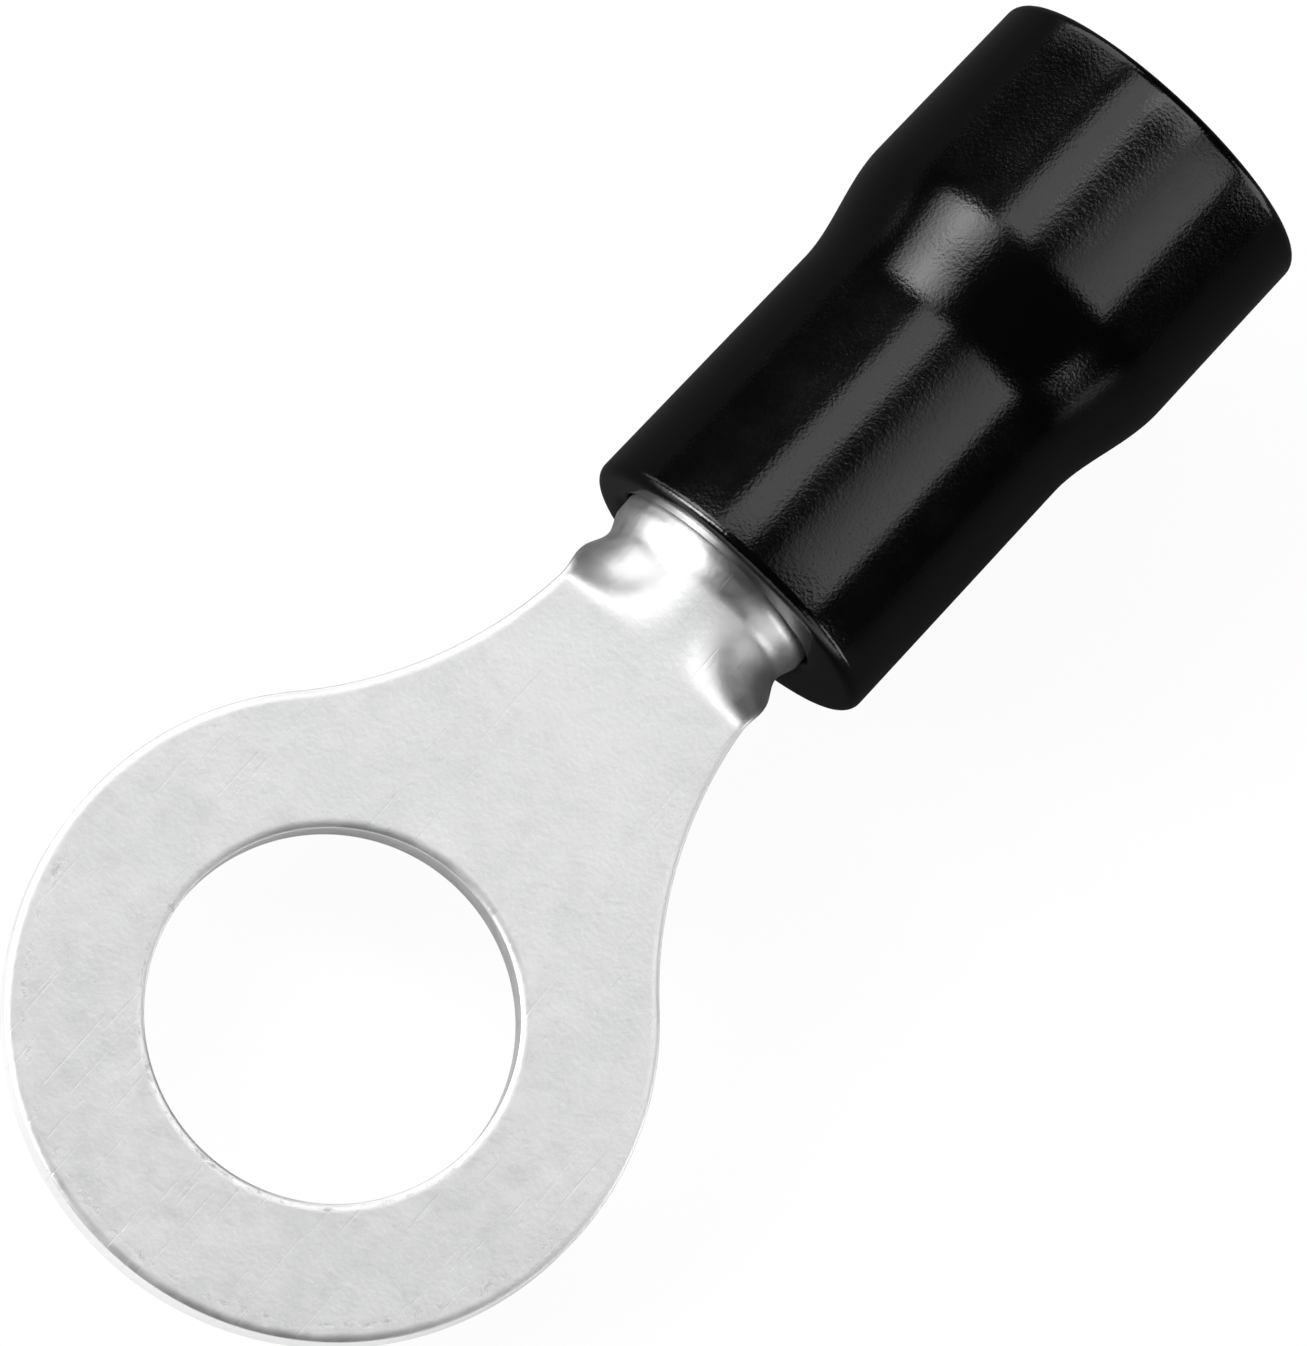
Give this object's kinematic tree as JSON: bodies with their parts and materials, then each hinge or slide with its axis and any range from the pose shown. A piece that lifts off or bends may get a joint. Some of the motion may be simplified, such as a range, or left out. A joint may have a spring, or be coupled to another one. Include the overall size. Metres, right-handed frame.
{
  "type": "ring terminal",
  "caption": "Insulated ring terminal: flat ring tongue for a stud, rolled crimp barrel and a black flared sleeve with a funnel entry for the wire.",
  "frame": {"origin": "centre of the stud hole on the tongue's underside, the face towards which the barrel is rolled", "axes": "+Z out of the tongue's upper face, along the stud hole; +X along the crimp barrel towards the wire entry"},
  "size_m": [0.0275, 0.0112, 0.0067],
  "materials": {
    "tinned_metal": "bright tin plating on copper alloy sheet, faint rolling grain and handling marks",
    "black_vinyl": "semi-gloss black vinyl with a fine leathery moulding grain"
  },
  "bodies": {
    "root": {"tongue_and_barrel": "tinned_metal", "insulating_sleeve": "black_vinyl"}
  },
  "joints": []
}
